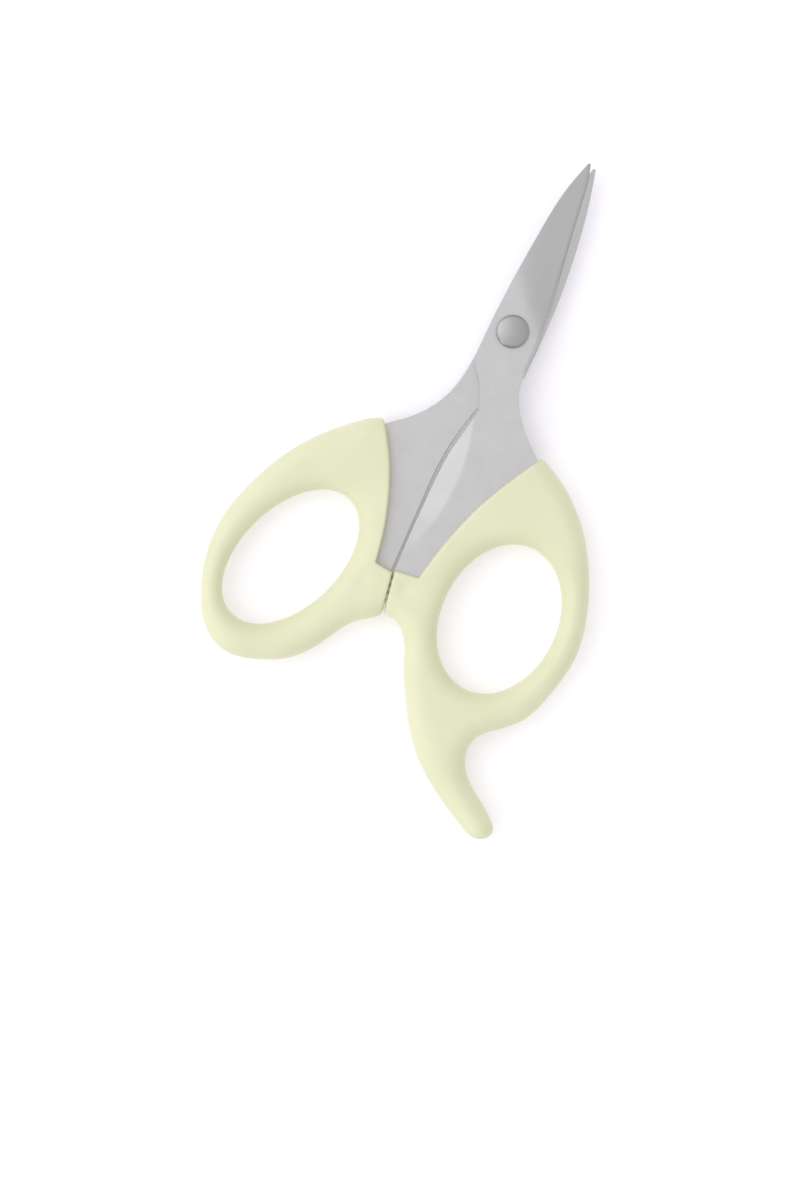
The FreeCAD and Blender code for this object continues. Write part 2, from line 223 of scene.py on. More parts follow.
class Recipe(Wiring):
    """A Geometry Nodes tree with named sizes, whose result becomes a plain mesh."""

    def __init__(self, name: str) -> None:
        """Make the tree with its geometry input and output."""
        super().__init__(bpy.data.node_groups.new(name, "GeometryNodeTree"))
        for side in ("INPUT", "OUTPUT"):
            self.tree.interface.new_socket(
                "Geometry", in_out=side, socket_type="NodeSocketGeometry")
        self.entry = self.tree.nodes.new("NodeGroupInput")
        self.exit = self.tree.nodes.new("NodeGroupOutput")
        self.geometry = Signal(self, self.entry.outputs[0])
        self.values: dict[str, float] = {}

    def size(self, name: str, value: float) -> Signal:
        """A named size of the tree and its value for this object."""
        item = self.tree.interface.new_socket(
            name, in_out="INPUT", socket_type="NodeSocketFloat")
        self.values[item.identifier] = value
        return Signal(self, self.entry.outputs[name])

    def named(self, name: str) -> Signal:
        """A value stored on the incoming mesh."""
        return self.node("GeometryNodeInputNamedAttribute", {"data_type": "FLOAT"}, {"Name": name})

    def store(self, geometry: Signal, name: str, value: Signal) -> Signal:
        """Store a value on every vertex for the material to read."""
        settings = {"data_type": "FLOAT", "domain": "POINT"}
        inputs = {0: geometry, "Name": name, "Value": value}
        return self.node("GeometryNodeStoreNamedAttribute", settings, inputs)

    def run(self, made: bpy.types.Object, geometry: Signal,
            material: bpy.types.Material) -> bpy.types.Object:
        """Close the tree with its last two nodes and turn the object into its result.

        Args:
            made: the object that holds the incoming mesh.
            geometry: the geometry that the recipe ends with.
            material: the finish of the result.

        Returns:
            The same object with a plain mesh and no modifier.
        """
        real = self.node("GeometryNodeRealizeInstances", {}, {0: geometry})
        dressed = self.node("GeometryNodeSetMaterial", {}, {0: real, "Material": material})
        self.tree.links.new(dressed.socket, self.exit.inputs[0])
        modifier = made.modifiers.new(self.tree.name, "NODES")
        modifier.node_group = self.tree
        for identifier, value in self.values.items():
            modifier[identifier] = value
        evaluated = made.evaluated_get(bpy.context.evaluated_depsgraph_get())
        result = bpy.data.meshes.new_from_object(evaluated)
        made.modifiers.remove(modifier)
        made.data = result
        result.name = made.name
        return made


def rgba(colour: Colour, share: float = 1.0) -> tuple[float, float, float, float]:
    """A share of a linear colour, with full alpha."""
    return (*(share * value for value in colour), 1.0)


# ---------------------------------------------------------------- finishes

@dataclass(frozen=True)
class SatinSteel:
    """Stamped stainless plate: tumbled flats, and lines across it where it is ground. The ground
    bevel and the honed inner face are darker, partly for their finish and partly as painted shade.
    """

    name: str
    colour: Colour = (0.585, 0.575, 0.58)
    # Darker tone of the ground bevel: partly its ground finish, partly painted shade of a bevel
    # that faces away from the light.
    ground_and_shade_colour: Colour = (0.53, 0.525, 0.528)
    # Darker tone of the honed inner face: partly its finish, partly painted shade cast by the upper
    # blade's cutting edge on the strip beside it.
    honed_and_shade_colour: Colour = (0.475, 0.47, 0.475)
    roughness: float = 0.36
    grind_turn: float = 0.0
    grind_lines: tuple[float, float, float] = (0.5, 14.0, 1.0)
    roll_lines: tuple[float, float, float] = (7.0, 0.4, 1.0)
    cloud_scale: float = 0.3
    dull: float = 0.9
    cloud_tone: float = 0.9
    line_tone: float = 0.7
    cloud_gloss: float = 0.05
    line_gloss: float = 0.08
    line_depth: float = 0.0016

    def material(self) -> bpy.types.Material:
        """Build the material."""
        graph = Graph(self.name)
        ground = graph.attribute("ground")
        across = graph.noise(graph.place(self.grind_lines, self.grind_turn), 1.0, 3.0, 0.6)
        along = graph.noise(graph.place(self.roll_lines, self.grind_turn), 1.0, 3.0, 0.6)
        cloud = graph.noise(graph.place(), self.cloud_scale, 3.0)
        lines = across * ground + along * (1.0 - ground)
        tone = 0.5 + (cloud - 0.5) * self.cloud_tone + (lines - 0.5) * self.line_tone
        flat = graph.mix(tone.step(0.0, 1.0), rgba(self.colour, self.dull), rgba(self.colour))
        # Painted shade, together with the ground finish, on the bevel that the ground mask marks.
        ground_and_shaded = graph.mix(ground, flat, rgba(self.ground_and_shade_colour))
        return graph.finish(
            # Painted shade, together with the honed finish, on the inner face.
            Base_Color=graph.mix(graph.attribute("honed"), ground_and_shaded, rgba(self.honed_and_shade_colour)),
            Metallic=1.0,
            Roughness=(self.roughness + (cloud - 0.5) * self.cloud_gloss
                       + (lines - 0.5) * self.line_gloss),
            Normal=graph.bump(lines, self.line_depth))


@dataclass(frozen=True)
class TurnedSteel:
    """Turned stainless: fine rings about the pivot axis."""

    name: str
    colour: Colour = (0.435, 0.427, 0.427)
    roughness: float = 0.36
    ring_scale: float = 14.0
    ring_gloss: float = 0.1
    ring_depth: float = 0.002
    cloud_scale: float = 0.8
    dull: float = 0.9

    def material(self) -> bpy.types.Material:
        """Build the material."""
        graph = Graph(self.name)
        flat = graph.place((1.0, 1.0, 0.0))
        radius = graph.node(
            "ShaderNodeVectorMath", {"operation": "LENGTH"}, {0: flat}, output="Value")
        ring = graph.node("ShaderNodeCombineXYZ", {}, {0: radius * self.ring_scale})
        rings = graph.noise(ring, 1.0)
        cloud = graph.noise(graph.place(), self.cloud_scale)
        return graph.finish(
            Base_Color=graph.mix(cloud, rgba(self.colour, self.dull), rgba(self.colour)),
            Metallic=1.0, Roughness=self.roughness + (rings - 0.5) * self.ring_gloss,
            Normal=graph.bump(rings, self.ring_depth))


@dataclass(frozen=True)
class MouldedPlastic:
    """Satin moulded plastic with a fine sparked texture, a parting line at its mid height, and
    cloud patches of painted shade in its colour.
    """

    name: str
    colour: Colour
    # The plastic's tone as seen in shade, painted in as patches of painted shade.
    painted_shade_colour: Colour
    roughness: float = 0.42
    parting_level: float = 3.5
    parting_inside: float = 0.02
    parting_outside: float = 0.09
    cloud_scale: float = 0.12
    spark_scale: float = 5.5
    spark_height: float = 0.35
    spark_gloss: float = 0.1
    parting_gloss: float = 0.1
    relief: float = 0.02

    def material(self) -> bpy.types.Material:
        """Build the material."""
        graph = Graph(self.name)
        place = graph.place()
        cloud = graph.noise(place, self.cloud_scale, 3.0)
        spark = graph.noise(place, self.spark_scale, 3.0, 0.6)
        level = graph.node("ShaderNodeSeparateXYZ", {}, {0: place}, output="Z")
        away = (level - self.parting_level).unary("ABSOLUTE")
        parting = 1.0 - away.step(self.parting_inside, self.parting_outside)
        return graph.finish(
            # Painted shade: the cloud mixes the plastic's tone in shade into its lit colour.
            Base_Color=graph.mix(cloud.step(0.3, 0.7), rgba(self.painted_shade_colour), rgba(self.colour)),
            Roughness=(self.roughness + (spark - 0.5) * self.spark_gloss
                       + parting * self.parting_gloss),
            Specular_IOR_Level=0.45,
            Normal=graph.bump(spark * self.spark_height + parting, self.relief))


@dataclass(frozen=True)
class PlainSurface:
    """A matt surface with a faint mottle, for what is hidden or only a stage."""

    name: str
    colour: Colour
    roughness: float = 0.6
    metallic: float = 0.0
    glow: float = 0.0
    cloud_scale: float = 0.9
    dull: float = 0.94

    def material(self) -> bpy.types.Material:
        """Build the material."""
        graph = Graph(self.name)
        cloud = graph.noise(graph.place(), self.cloud_scale)
        return graph.finish(
            Base_Color=graph.mix(cloud, rgba(self.colour, self.dull), rgba(self.colour)),
            Metallic=self.metallic, Roughness=self.roughness,
            Emission_Color=rgba(self.colour), Emission_Strength=self.glow)


# ---------------------------------------------------------------- plane shapes

def smooth_run(knots: Sequence[Point], step: float = 0.25) -> np.ndarray:
    """Points of the natural cubic curve through knots.

    Args:
        knots: the points it passes, in millimetres.
        step: the spacing of the returned points.

    Returns:
        An array of points; a run of two knots is a straight line.
    """
    points = np.array(knots, float)
    lengths = np.hypot(*np.diff(points, axis=0).T)
    at = np.concatenate([[0.0], np.cumsum(lengths)])
    count = max(2, int(at[-1] / step) + 1)
    fine = np.linspace(0.0, at[-1], count)
    if len(points) == 2:
        return points[0] + (points[1] - points[0]) * (fine / at[-1])[:, None]
    size = len(points)
    matrix = np.eye(size)
    right = np.zeros((size, 2))
    for i in range(1, size - 1):
        before, after = lengths[i - 1], lengths[i]
        matrix[i, i - 1:i + 2] = before, 2 * (before + after), after
        ahead, back = points[i + 1] - points[i], points[i] - points[i - 1]
        right[i] = 6 * (ahead / after - back / before)
    bend = np.linalg.solve(matrix, right)
    cell = np.clip(np.searchsorted(at, fine, side="right") - 1, 0, size - 2)
    span = lengths[cell][:, None]
    ahead = ((fine - at[cell]) / lengths[cell])[:, None]
    back = 1 - ahead
    curve = (back ** 3 - back) * bend[cell] + (ahead ** 3 - ahead) * bend[cell + 1]
    return back * points[cell] + ahead * points[cell + 1] + curve * span ** 2 / 6


def signed_distance(loop: np.ndarray, places: np.ndarray) -> np.ndarray:
    """Distance to a closed loop, positive inside it.

    Args:
        loop: the loop's corners in order.
        places: the points to measure.

    Returns:
        One distance for each place.
    """
    start, end = loop, np.roll(loop, -1, axis=0)
    side = end - start
    nearest = np.full(len(places), 1e9)
    inside = np.zeros(len(places), bool)
    for a, b, along in zip(start, end, side):
        offset = places - a
        share = np.clip((offset @ along) / max(along @ along, 1e-12), 0.0, 1.0)
        gap = offset - share[:, None] * along
        np.minimum(nearest, np.einsum("ij,ij->i", gap, gap), out=nearest)
        if a[1] != b[1]:
            spans = (a[1] > places[:, 1]) != (b[1] > places[:, 1])
            cross = a[0] + (places[:, 1] - a[1]) * along[0] / along[1]
            inside ^= spans & (places[:, 0] < cross)
    return np.where(inside, 1.0, -1.0) * np.sqrt(nearest)


def blurred(values: np.ndarray, radius: float) -> np.ndarray:
    """A grid blurred by a Gaussian of a radius in cells."""
    reach = int(3 * radius) + 1
    weights = np.exp(-0.5 * (np.arange(-reach, reach + 1) / radius) ** 2)
    weights /= weights.sum()
    for axis in (0, 1):
        margins = [(reach, reach) if a == axis else (0, 0) for a in (0, 1)]
        padded = np.pad(values, margins, mode="edge")
        values = sum(w * np.take(padded, range(i, i + values.shape[axis]), axis=axis)
                     for i, w in enumerate(weights))
    return values


@dataclass
class Grid:
    """A square grid over part of the plane, with values that can be read anywhere on it."""

    low: np.ndarray
    step: float
    shape: tuple[int, int]

    def places(self) -> np.ndarray:
        """All the grid's points, one row each."""
        xs = self.low[0] + self.step * np.arange(self.shape[0])
        ys = self.low[1] + self.step * np.arange(self.shape[1])
        return np.stack(np.meshgrid(xs, ys, indexing="ij"), axis=-1).reshape(-1, 2)

    def read(self, values: np.ndarray, places: np.ndarray) -> np.ndarray:
        """Values between the grid's points, by bilinear mixing."""
        local = (places - self.low) / self.step
        cell = np.clip(local.astype(int), 0, np.array(self.shape) - 2)
        u, v = (local - cell).T
        i, j = cell.T
        return ((1 - u) * (1 - v) * values[i, j] + u * (1 - v) * values[i + 1, j]
                + (1 - u) * v * values[i, j + 1] + u * v * values[i + 1, j + 1])


# ---------------------------------------------------------------- skin of an implicit solid

def net_surface(values: np.ndarray) -> tuple[np.ndarray, np.ndarray]:
    """The surface-net of a block of values that are positive inside the solid.

    Args:
        values: a three-dimensional array, negative all over its outside.

    Returns:
        Vertices in cells of the array, and quads that face outwards.
    """
    solid = values > 0
    corners = [(a, b, c) for a in (0, 1) for b in (0, 1) for c in (0, 1)]
    cut = tuple(n - 1 for n in values.shape)

    def part(array: np.ndarray, corner: tuple[int, int, int]) -> np.ndarray:
        """The array as one corner of every cell sees it."""
        return array[tuple(slice(o, o + n) for o, n in zip(corner, cut))]

    filled = sum(part(solid, corner).astype(np.int8) for corner in corners)
    active = np.argwhere((filled > 0) & (filled < 8))
    number = np.full(cut, -1, np.int64)
    number[tuple(active.T)] = np.arange(len(active))
    total = np.zeros((len(active), 3))
    count = np.zeros(len(active))
    for first in corners:
        for axis in range(3):
            if first[axis]:
                continue
            second = tuple(1 if a == axis else f for a, f in enumerate(first))
            f0 = part(values, first)[tuple(active.T)]
            f1 = part(values, second)[tuple(active.T)]
            crosses = (f0 > 0) != (f1 > 0)
            share = np.where(crosses, f0 / np.where(crosses, f0 - f1, 1.0), 0.0)
            point = active + np.array(first, float)
            point[:, axis] += share
            total += point * crosses[:, None]
            count += crosses
    vertices = total / count[:, None]
    quads = []
    for axis in range(3):
        left, right = (axis + 1) % 3, (axis + 2) % 3
        low = np.take(solid, range(values.shape[axis] - 1), axis=axis)
        high = np.take(solid, range(1, values.shape[axis]), axis=axis)
        for outward in (True, False):
            edges = np.argwhere(low & ~high if outward else high & ~low)
            around = []
            for a, b in ((1, 1), (0, 1), (0, 0), (1, 0)):
                cell = edges.copy()
                cell[:, left] -= a
                cell[:, right] -= b
                around.append(number[tuple(cell.T)])
            ring = np.stack(around, axis=1)
            quads.append(ring if outward else ring[:, ::-1])
    return vertices, np.concatenate(quads)


def plain_object(name: str, data: bpy.types.ID) -> bpy.types.Object:
    """Link a mesh, a lamp or a camera into the scene as an object at the origin."""
    made = bpy.data.objects.new(name, data)
    bpy.context.scene.collection.objects.link(made)
    return made


def handed_over(made: bpy.types.Object, half: Half, node: str, slot: str) -> bpy.types.Object:
    """Parent a piece to the body that it rides on, and hide the node that it stands for.

    Args:
        made: the finished piece.
        half: the half that it turns with.
        node: the node that it replaces.
        slot: the name of a material slot; not used.

    Returns:
        The same piece.
    """
    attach(made, half.value)
    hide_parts(node)
    return made


def mesh_from(name: str, vertices: np.ndarray, faces: np.ndarray) -> bpy.types.Object:
    """An object with smooth faces from arrays in millimetres."""
    mesh = bpy.data.meshes.new(name)
    mesh.from_pydata((vertices * MM).tolist(), [], faces.tolist())
    mesh.validate()
    mesh.shade_smooth()
    return plain_object(name, mesh)


# ---------------------------------------------------------------- bows

@dataclass
class Eye:
    """A finger eye: an ellipse, its long axis leaning from +Y."""

    centre: Point
    across: float
    along: float
    lean: float = 0.0
    corners: int = 240

    def loop(self) -> np.ndarray:
        """The eye's edge, as a closed loop."""
        turn = np.linspace(0, 2 * np.pi, self.corners, endpoint=False)
        lean = math.radians(self.lean)
        x, y = self.across * np.cos(turn), self.along * np.sin(turn)
        return np.stack([self.centre[0] + x * np.cos(lean) - y * np.sin(lean),
                         self.centre[1] + x * np.sin(lean) + y * np.cos(lean)], axis=1)


@dataclass
class Hollow:
    """A soft hollow in the upper side of a bow."""

    centre: Point
    reach: float
    depth: float


@dataclass
class Bow:
    """One moulded bow: a rounded ring that thickens into a block around the tang.

    The soft loop is the outside of the moulding, carried on past the metal, and the crisp loop is
    bounded by the lip and by the face that meets the other bow. The bow is what both loops hold,
    less its eye. The crisp edge is broken by the lip beside the metal, and by the finer seam
    beyond it, where the bows meet.
    """

    name: str
    node: str
    half: Half
    outside: Sequence[Point]
    outside_close: Sequence[Point]
    crisp: Sequence[Sequence[Point]]
    crisp_close: Sequence[Point]
    eye: Eye
    finish: MouldedPlastic
    hollows: Sequence[Hollow] = ()
    half_height: float = 3.5
    wall: float = 3.0
    edge: float = 3.1
    crown: float = 7.5
    crown_share: float = 0.4
    lip: float = 0.35
    seam: float = 0.22
    seam_start: float = -45.4
    seam_run: float = 1.0
    soften: float = 0.45
    step: float = 0.25
    nudge: float = 0.02
    stride: float = 0.4
    settling_rounds: int = 3
    cells: Grid = field(init=False)
    cover: np.ndarray = field(init=False)
    top: np.ndarray = field(init=False)

    def __post_init__(self) -> None:
        """Lay the grid and work out the plan of the moulding on it."""
        low, high = (np.array(corner)[:2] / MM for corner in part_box(self.node))
        margin = 1.0
        shape = tuple(int(n) for n in np.ceil((high - low + 2 * margin) / self.step) + 1)
        self.cells = Grid(low - margin, self.step, shape)
        places = self.cells.places()
        outside = np.concatenate([smooth_run(self.outside), np.array(self.outside_close)])
        runs = [smooth_run(run)[:-1] for run in self.crisp]
        crisp = np.concatenate(runs + [np.array(self.crisp_close)])
        soft = signed_distance(outside, places)
        eye = -signed_distance(self.eye.loop(), places)
        lip = signed_distance(crisp, places)
        change = [self.seam_start - self.seam_run, self.seam_start]
        reach = np.interp(places[:, 1], change, [self.seam, self.lip])
        cover = 1.0 - self._round(soft) - self._round(eye)
        self.cover = blurred(cover.reshape(shape), self.soften / self.step)
        self.cover -= np.maximum(0.0, 1.0 - lip / reach).reshape(shape) ** 2
        top = np.full(len(places), self.half_height)
        for hollow in self.hollows:
            away = np.hypot(*(places - np.array(hollow.centre)).T)
            top -= hollow.depth * np.exp(-(away / hollow.reach) ** 2)
        self.top = top.reshape(shape)

    def _round(self, distance: np.ndarray) -> np.ndarray:
        """How much of the height the rounding takes away at a distance from an edge."""
        edge = np.maximum(0.0, 1.0 - distance / self.edge) ** 2
        crown = np.maximum(0.0, 1.0 - distance / self.crown) ** 2
        return (1 - self.crown_share) * edge + self.crown_share * crown

    def _solid(self, places: np.ndarray) -> np.ndarray:
        """Positive inside the moulding, for points in millimetres with height from its middle."""
        plan = places[:, :2]
        top = np.where(places[:, 2] > 0, self.cells.read(self.top, plan), self.half_height)
        rise = np.maximum(0.0, np.abs(places[:, 2]) - (top - self.wall)) / self.wall
        return self.cells.read(self.cover, plan) - rise ** 2

    def build(self) -> bpy.types.Object:
        """Skin the moulding and settle the skin's vertices on its surface."""
        step, nudge = self.step, self.nudge
        levels = np.arange(-self.half_height - step, self.half_height + 2 * step, step)
        plan = self.cells.places()
        layers = [self._solid(np.column_stack([plan, np.full(len(plan), z)])) for z in levels]
        block = np.stack(layers, axis=-1).reshape(*self.cells.shape, len(levels))
        vertices, quads = net_surface(block)
        vertices = vertices * step + np.array([*self.cells.low, levels[0]])
        for _ in range(self.settling_rounds):
            here = self._solid(vertices)
            slope = np.stack([
                (self._solid(vertices + nudge * axis) - self._solid(vertices - nudge * axis))
                / (2 * nudge) for axis in np.eye(3)], axis=1)
            steep = np.maximum(np.einsum("ij,ij->i", slope, slope), 1e-3)
            move = -(here / steep)[:, None] * slope
            vertices = vertices + np.clip(move, -self.stride * step, self.stride * step)
        vertices[:, 2] += self.half_height
        made = mesh_from(self.name, vertices, quads)
        made.data.materials.append(self.finish.material())
        return handed_over(made, self.half, self.node, "bow_plastic")


# ---------------------------------------------------------------- blades

def inset(loop: np.ndarray, amount: float) -> np.ndarray:
    """A closed loop moved inwards.

    Args:
        loop: its corners, which run anticlockwise.
        amount: how far it moves.

    Returns:
        As many corners, in the same order.
    """
    ahead = np.roll(loop, -1, axis=0) - loop
    ahead /= np.linalg.norm(ahead, axis=1)[:, None]
    normal = np.stack([-ahead[:, 1], ahead[:, 0]], axis=1)
    corner = normal + np.roll(normal, 1, axis=0)
    corner /= np.maximum(np.einsum("ij,ij->i", corner, corner) / 2, 0.35)[:, None]
    return loop + amount * corner


def joined(runs: Sequence[Sequence[Point]], step: float) -> np.ndarray:
    """A closed anticlockwise loop from runs that follow each other."""
    loop = np.concatenate([smooth_run(run, step)[:-1] for run in runs])
    x, y = loop.T
    area = np.sum(x * np.roll(y, -1) - y * np.roll(x, -1))
    return loop if area > 0 else loop[::-1]


@dataclass(frozen=True)
class Grinding:
    """How the upper plate is ground.

    The lower plate is ground in the same way and then turned over about an axis along Y. The
    bevel lies outside, the hollow and the inner grind lie on the inside, the relief is the
    conical facet beside the gap between the shanks, and the hone follows the cutting edge.
    """

    outer: float = 5.32
    inner: float = 3.52
    bevel_start: float = 16.0
    spine_x: float = -3.35
    sink: float = 0.385
    heel_fall: float = 0.1974
    point_fall: float = 0.0367
    wheel: float = 80.0
    blend: float = 0.45
    ground_drop: float = 0.9
    inner_grind: float = 3.0
    inner_run: float = 4.0
    hollow_x: float = 0.15
    hollow_shift: float = 0.55
    hollow_depth: float = 0.14
    hollow_wheel: float = 22.0
    hollow_start: float = 9.0
    hollow_end: float = 28.5
    hollow_run: float = 0.22
    relief_x: float = -31.3
    relief_y: float = -28.0
    relief_radius: float = 34.0
    relief_slope: float = 0.1228
    relief_end: float = -46.0
    relief_run: float = 14.0
    relief_sweep: float = 45.0
    relief_step: float = 0.5
    relief_blend: float = 0.02
    hone_width: float = 0.35
    hone_slope: float = 0.25


@dataclass
class Blade:
    """One plate with its tang, built flat and then ground by a recipe."""

    name: str
    node: str
    half: Half
    outline: Sequence[Sequence[Point]]
    finish: SatinSteel
    grinding: Grinding
    bore: float = 1.63
    bore_corners: int = 72
    edge_break: float = 0.06
    edge_run: int = 2
    sharp: float = 28.0
    step: float = 0.3
    rim_clear: float = 0.7
    hone_clear: float = 0.6
    crease_clear: float = 0.5
    height: float = 7.0

    def _edge_gap(self, places: np.ndarray) -> np.ndarray:
        """The distance of points from the cutting edge.

        Args:
            places: points of the plane, one row each.

        Returns:
            One distance for each point.
        """
        edge = smooth_run(self.outline[self.edge_run], self.step)
        if self.half is Half.LOWER:
            edge = edge * [-1, 1]
        ahead = edge[1:] - edge[:-1]
        offset = places[:, None] - edge[None, :-1]
        share = np.einsum("ijk,jk->ij", offset, ahead) / np.einsum("jk,jk->j", ahead, ahead)
        share = np.clip(share, 0, 1)[..., None]
        return np.linalg.norm(offset - share * ahead, axis=2).min(axis=1)

    def _creases(self, outline: np.ndarray) -> np.ndarray:
        """Points along the facet's curved edge and along the honing line.

        Args:
            outline: the plate's outline.

        Returns:
            The points that lie inside the plate.
        """
        g = self.grinding
        angles = np.radians(np.arange(-g.relief_sweep, g.relief_sweep, g.relief_step))
        centre = np.array([g.relief_x, g.relief_y])
        facet = centre + g.relief_radius * np.stack([np.cos(angles), np.sin(angles)], axis=1)
        facet = facet[signed_distance(outline, facet) > self.edge_break]
        hone = inset(outline, g.hone_width)
        near = self._edge_gap(hone) < HONE_REACH * g.hone_width
        near &= signed_distance(outline, hone) > self.hone_clear * self.step
        return np.concatenate([facet, hone[near]])

    def _plan(self) -> tuple[list[np.ndarray], np.ndarray, np.ndarray]:
        """The true loops, and the points and triangles of the flat inside their broken edges."""
        turn = np.linspace(0, 2 * np.pi, self.bore_corners, endpoint=False)
        outline = joined(self.outline, self.step)
        if self.half is Half.LOWER:
            outline = (outline * [-1, 1])[::-1]
        loops = [outline, self.bore * np.stack([np.cos(turn), -np.sin(turn)], axis=1)]
        inner = [inset(loop, self.edge_break) for loop in loops]
        low, high = outline.min(axis=0), outline.max(axis=0)
        columns = np.arange(low[0], high[0], self.step)
        rows = np.arange(low[1], high[1], self.step * math.sqrt(0.75))
        lattice = np.concatenate([
            np.column_stack([columns + (row % 2) * self.step / 2, np.full_like(columns, y)])
            for row, y in enumerate(rows)])
        margin = self.rim_clear * self.step
        keep = signed_distance(outline, lattice) > margin
        keep &= np.linalg.norm(lattice, axis=1) > self.bore + margin
        crease, lattice = self._creases(outline), lattice[keep]
        gaps = np.linalg.norm(lattice[:, None] - crease[None], axis=2).min(axis=1)
        lattice = np.concatenate([lattice[gaps > self.crease_clear * self.step], crease])
        rims, start = [], 0
        for loop in inner:
            rims += [(start + i, start + (i + 1) % len(loop)) for i in range(len(loop))]
            start += len(loop)
        points = np.concatenate([*inner, lattice])
        found = delaunay_2d_cdt([Vector(point) for point in points], rims, [], 0, 1e-6)
        plan = np.array([tuple(point) for point in found[0]])
        triangles = np.array([face for face in found[2] if len(face) == 3])
        middle = plan[triangles].mean(axis=1)
        inside = signed_distance(inner[0], middle) > 0
        inside &= np.linalg.norm(middle, axis=1) > self.bore
        return loops, plan, triangles[inside]

    def _slab(self) -> bpy.types.Object:
        """The flat blank: two faces, broken edges and walls, with each vertex's side on it."""
        loops, plan, triangles = self._plan()
        count = len(plan)
        corners = [plan, plan, *loops, *loops]
        sides = [(1.0, 0.0), (0.0, 0.0)]
        sides += [(1.0, self.edge_break)] * len(loops) + [(0.0, -self.edge_break)] * len(loops)
        level, drop = (np.concatenate([np.full(len(c), side[i]) for c, side in zip(corners, sides)])
                       for i in (0, 1))
        places = np.concatenate(corners)
        faces = triangles.tolist() + (triangles[:, ::-1] + count).tolist()
        walls = sum(len(loop) for loop in loops)
        top = 2 * count
        start = 0
        for loop in loops:
            size = len(loop)
            for i in range(size):
                j = (i + 1) % size
                a, b = start + i, start + j
                faces.append((a, top + a, top + b, b))
                faces.append((top + a, top + walls + a, top + walls + b, top + b))
                faces.append((top + walls + a, count + a, count + b, top + walls + b))
            start += size
        mesh = bpy.data.meshes.new(self.name)
        mesh.from_pydata(np.column_stack([places, level]).tolist(), [], faces)
        stored = {"level": level, "drop": drop, "edge_gap": self._edge_gap(places)}
        for name, values in stored.items():
            mesh.attributes.new(name, "FLOAT", "POINT").data.foreach_set("value", values)
        return plain_object(self.name, mesh)

    def _recipe(self) -> tuple[Recipe, Signal]:
        """The rule that gives every vertex its height, and marks what is ground."""
        g = self.grinding
        recipe = Recipe(self.name + "_grinding")

        def size(name: str) -> Signal:
            """A size of the grinding as an input of the tree."""
            return recipe.size(name.replace("_", " ").title(), getattr(g, name))

        x, y, _ = recipe.parts(recipe.node("GeometryNodeInputPosition"))
        outer = size("outer")
        start = size("bevel_start")
        wheel = size("wheel")
        runout = (start - y).above(0.0)
        lift = wheel - (wheel * wheel - runout * runout).unary("SQRT")
        across = (x - size("spine_x")) * size("heel_fall")
        along = (y - start) * size("point_fall")
        bevel = outer - size("sink") - across - along + lift
        away_x = x - size("relief_x")
        away_y = y - size("relief_y")
        away = (away_x * away_x + away_y * away_y).unary("SQRT")
        gap = away - size("relief_radius")
        fade = y.step(g.relief_end, g.relief_end + g.relief_run)
        relief = outer + gap * size("relief_slope") * fade
        top = outer.below(bevel, g.blend).below(relief, g.relief_blend)
        honing = (size("hone_width") - recipe.named("edge_gap")).above(0.0)
        top = top - honing * size("hone_slope")
        hollow_start = size("hollow_start")
        share = (y - hollow_start) / (size("hollow_end") - hollow_start)
        offset = x - g.hollow_x + share * g.hollow_shift
        depth = (1.0 - share) * size("hollow_depth")
        depth = depth - offset * offset / (size("hollow_wheel") * 2.0)
        hollow = depth.above(0.0) * share.step(0.0, g.hollow_run)
        bottom = size("inner") + hollow
        level = recipe.named("level")
        height = level * top + (1.0 - level) * bottom - recipe.named("drop")
        # The ground and honed masks carry grind lines, and darker tones that are partly painted
        # shade.
        inside = (y - size("inner_grind")).step(0.0, g.inner_run)
        honed = inside * (1.0 - level)
        ground = (outer - bevel).step(0.0, g.ground_drop) * level + honed
        marked = recipe.store(recipe.store(recipe.geometry, "ground", ground), "honed", honed)
        return recipe, recipe.node("GeometryNodeSetPosition", {}, {
            0: marked, "Position": recipe.vector(x * MM, y * MM, height * MM)})

    def build(self) -> bpy.types.Object:
        """Grind the blank, turn it over if it is the lower one, and dress it."""
        made = self._slab()
        recipe, geometry = self._recipe()
        recipe.run(made, geometry, self.finish.material())
        if self.half is Half.LOWER:
            lift = Matrix.Translation((0, 0, self.height * MM))
            made.data.transform(lift @ Matrix.Rotation(math.pi, 4, "Y"))
        made.data.shade_smooth()
        made.data.set_sharp_from_angle(angle=math.radians(self.sharp))
        return handed_over(made, self.half, self.node, "blade_steel")


# ---------------------------------------------------------------- turned parts

